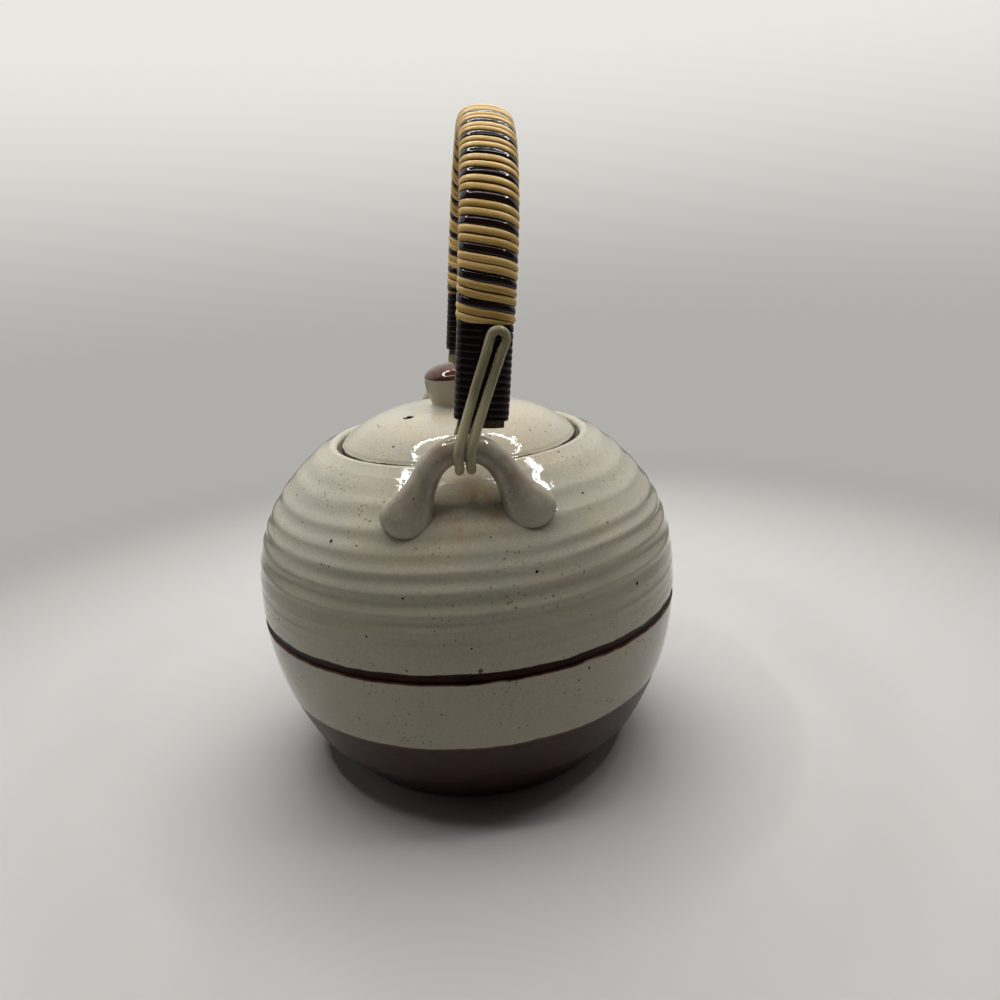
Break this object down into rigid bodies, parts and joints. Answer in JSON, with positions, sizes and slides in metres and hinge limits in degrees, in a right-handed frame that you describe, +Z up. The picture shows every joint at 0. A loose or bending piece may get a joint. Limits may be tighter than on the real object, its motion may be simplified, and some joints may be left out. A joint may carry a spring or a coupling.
{
  "type": "teapot",
  "caption": "Round stoneware teapot with lift-off lid, short spout, strainer wall and a cane-wrapped overhead handle hooked through clay lugs.",
  "frame": {"origin": "centre of the flat foot that the pot stands on", "axes": "+Z up, +Y towards the spout, +X to the right of the spout seen from behind"},
  "size_m": [0.145, 0.1795, 0.2152],
  "materials": {
    "glazed_stoneware": "semi-matt ash-white glaze with iron specks",
    "natural_cane": "natural rattan peel, satin",
    "dark_cane": "dyed and lacquered rattan peel, glossy",
    "hook_cane": "pale round cane, satin",
    "core_cane": "bare split cane"
  },
  "bodies": {
    "vessel": {"pot": "glazed_stoneware", "spout": "glazed_stoneware", "back_lug": "glazed_stoneware", "front_lug": "glazed_stoneware"},
    "lid": {"lid": "glazed_stoneware", "lid_knob": "glazed_stoneware"},
    "handle": {"outer_slat": "core_cane", "inner_slat": "core_cane", "filler_slat": "core_cane", "dark_strip": "dark_cane", "first_natural_strip": "natural_cane", "second_natural_strip": "natural_cane", "back_end_wrap": "dark_cane", "front_end_wrap": "dark_cane", "back_hook": "hook_cane", "front_hook": "hook_cane"}
  },
  "joints": [
    {"name": "lid_lift", "type": "slide", "parent": "vessel", "child": "lid", "axis": [0, 0, 1], "range_m": [0, 0.05]},
    {"name": "handle_swing", "type": "hinge", "parent": "vessel", "child": "handle", "pos_m": [0.00144, 0, 0.1087], "axis": [0.0262, 0.9997, 0], "range_deg": [-62, 50]}
  ]
}
